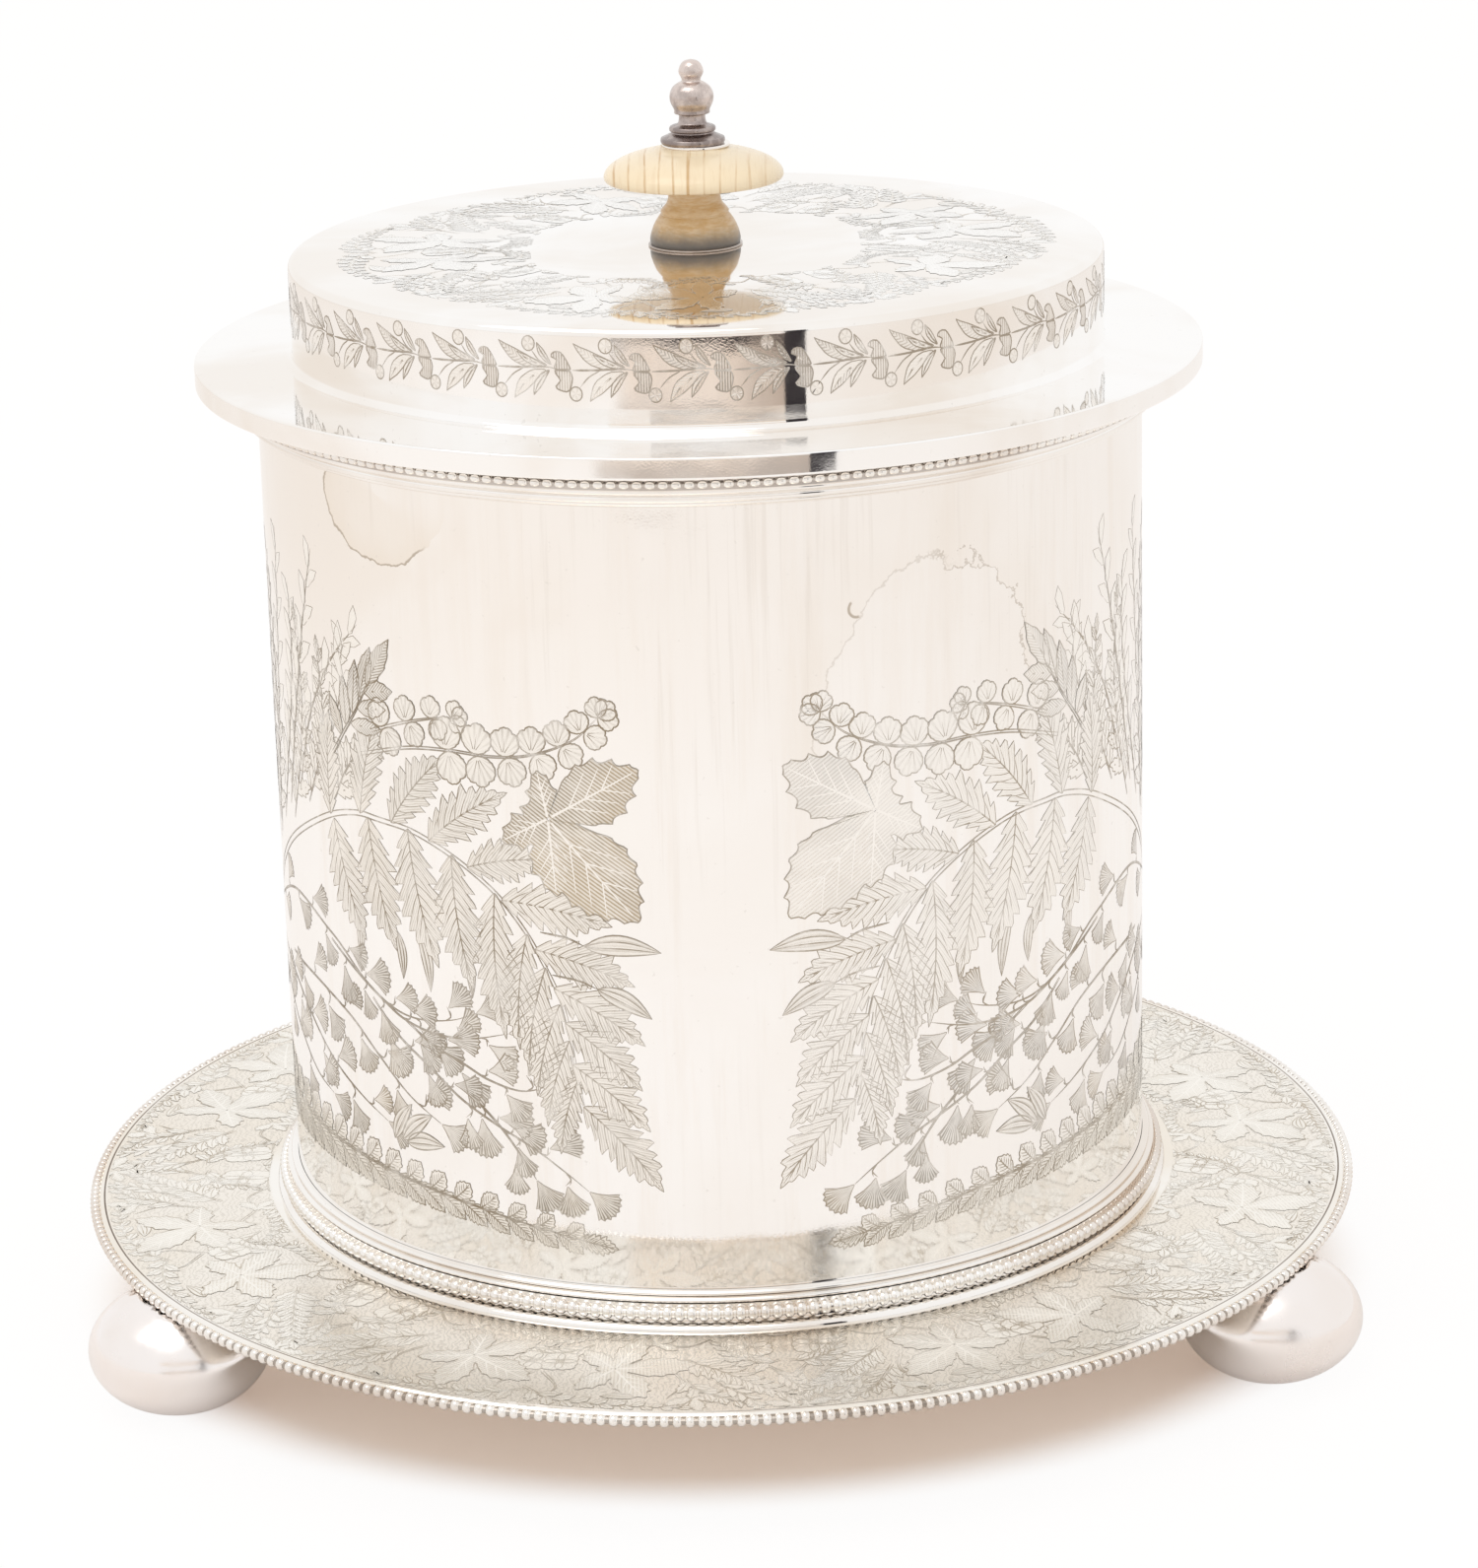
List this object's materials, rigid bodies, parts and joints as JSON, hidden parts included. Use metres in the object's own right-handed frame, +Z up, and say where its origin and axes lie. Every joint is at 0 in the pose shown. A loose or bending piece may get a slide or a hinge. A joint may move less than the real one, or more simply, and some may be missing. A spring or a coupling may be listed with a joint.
{
  "type": "biscuit box",
  "caption": "Round silver-plated biscuit box on a footed tray with a beaded edge, engraved with leaves, with a lift-off lid and a turned knob.",
  "frame": {"origin": "centre of the flat floor inside the barrel, on the axis of the box; the table is 22.2 mm below it", "axes": "+Z up along the axis of the barrel and knob, -Y towards the viewer, +X to the viewer's right; one foot stands at +Y, the other two at the front left and front right"},
  "size_m": [0.22, 0.2296, 0.2131],
  "materials": {
    "silver_plate": "polished old silver plate with a warm patina and engraved leaves",
    "worn_silver": "small cast finial, tarnished darker and pinkish in its hollows",
    "knob_bone": "polished cream bone with fine brown grain lines",
    "knob_horn": "turned tan horn that greys towards its foot, satin",
    "knob_brass": "dull brass rod, nut and washer inside the lid"
  },
  "bodies": {
    "box": {"tray": "silver_plate", "tray_bead_wire": "silver_plate", "foot_front_left_upper": "silver_plate", "foot_front_left_lower": "silver_plate", "foot_front_right_upper": "silver_plate", "foot_front_right_lower": "silver_plate", "foot_rear_upper": "silver_plate", "foot_rear_lower": "silver_plate", "barrel_wall": "silver_plate", "barrel_floor": "silver_plate", "base_moulding": "silver_plate", "base_bead_wire": "silver_plate", "rim_moulding": "silver_plate", "rim_bead_wire": "silver_plate"},
    "lid": {"lid_brim": "silver_plate", "lid_crown": "silver_plate", "lid_bezel": "silver_plate", "knob_rose": "silver_plate", "knob_stem": "knob_horn", "knob_cap": "knob_bone", "knob_washer": "silver_plate", "knob_finial": "worn_silver", "knob_rod": "knob_brass", "knob_nut_washer": "knob_brass", "knob_nut": "knob_brass"}
  },
  "joints": [
    {"name": "lid_lift", "type": "slide", "parent": "box", "child": "lid", "axis": [0, 0, 1], "range_m": [0, 0.06]}
  ]
}
